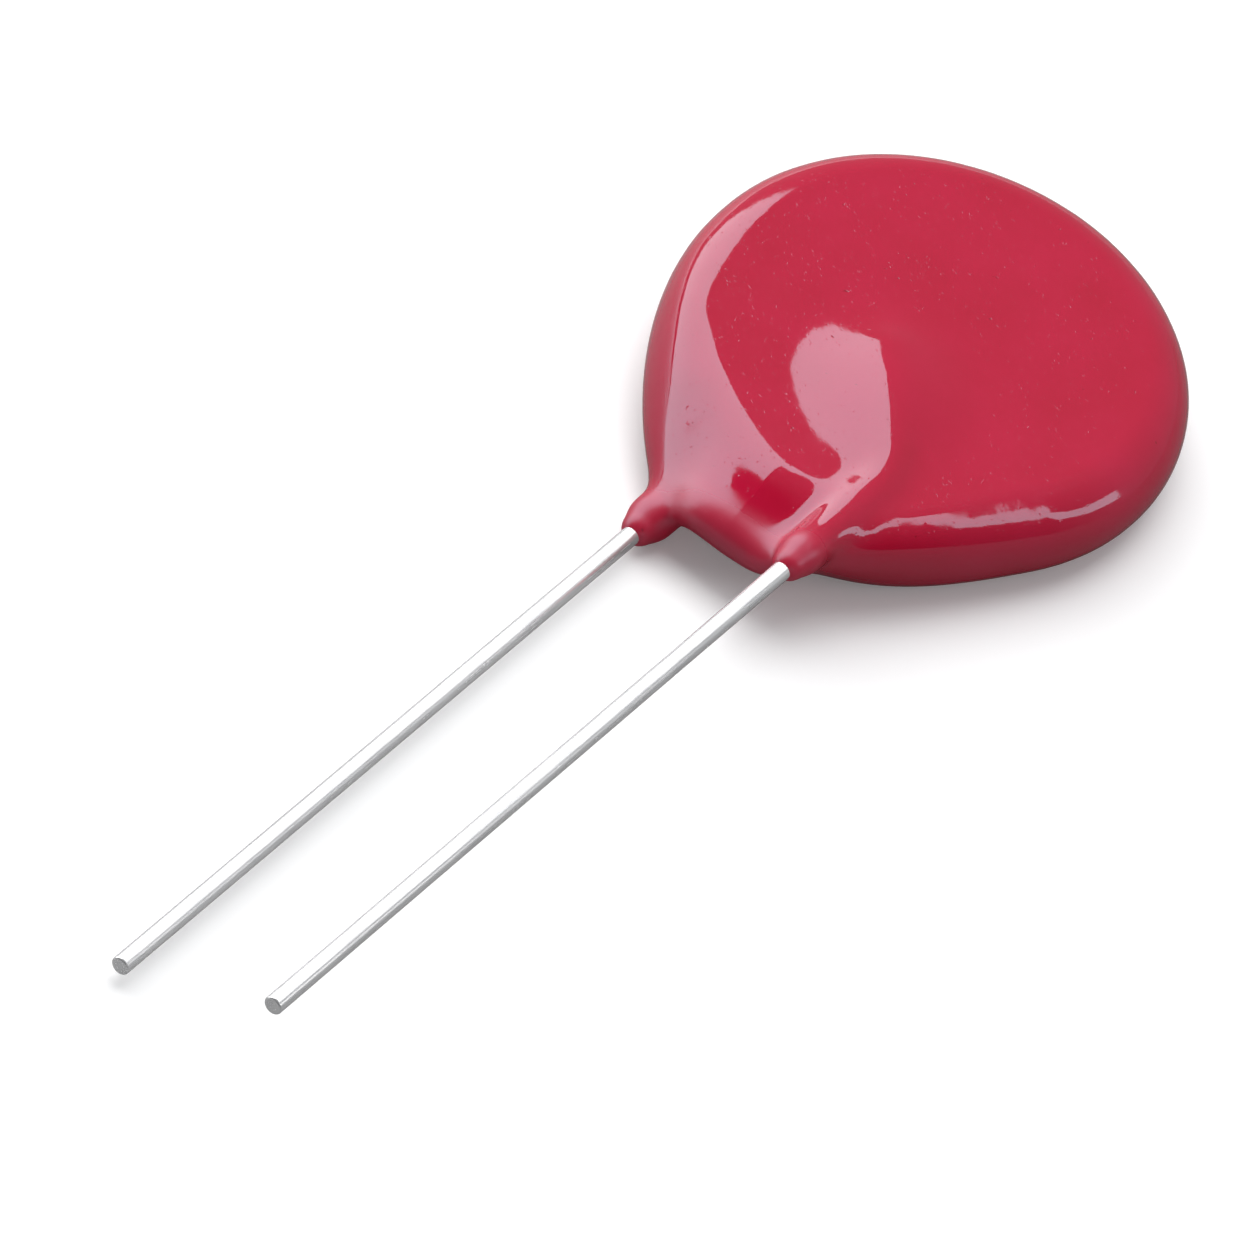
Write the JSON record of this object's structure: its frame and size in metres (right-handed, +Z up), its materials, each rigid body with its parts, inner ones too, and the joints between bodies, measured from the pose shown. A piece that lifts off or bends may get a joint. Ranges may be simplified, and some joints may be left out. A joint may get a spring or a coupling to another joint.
{
  "type": "thermally protected varistor",
  "caption": "Disc varistor in glossy red epoxy with straight tinned leads and a built-in thermal link that opens when the ceramic overheats",
  "frame": {"origin": "Middle of the part's footprint, at the height of its lowest point", "axes": "+Z is up with the part lying on its back, the leads run towards -Y, and the front lead is on the +X side. The normal of the coated disc's front face leans 2.66 degrees from +Z, because the back lead's ridge is lower than the disc's rim"},
  "size_m": [0.0214, 0.0596, 0.0054],
  "materials": {
    "coating": "glossy dipped epoxy",
    "varistor_disc": "sintered",
    "front_electrode": "fired silver paste",
    "back_electrode": "fired silver paste",
    "insulator_plate": "alumina, as fired",
    "front_lead": "bright tinned",
    "back_lead": "bright tinned",
    "thermal_link": "drawn low-melting alloy",
    "link_cover": "hot-melt resin",
    "lead_solder": "reflowed solder",
    "link_solder": "reflowed solder",
    "back_solder": "reflowed solder"
  },
  "bodies": {
    "root": {"coating": "coating", "varistor_disc": "varistor_disc", "front_electrode": "front_electrode", "back_electrode": "back_electrode", "insulator_plate": "insulator_plate", "front_lead": "front_lead", "back_lead": "back_lead", "thermal_link": "thermal_link", "link_cover": "link_cover", "lead_solder": "lead_solder", "link_solder": "link_solder", "back_solder": "back_solder"}
  },
  "joints": []
}
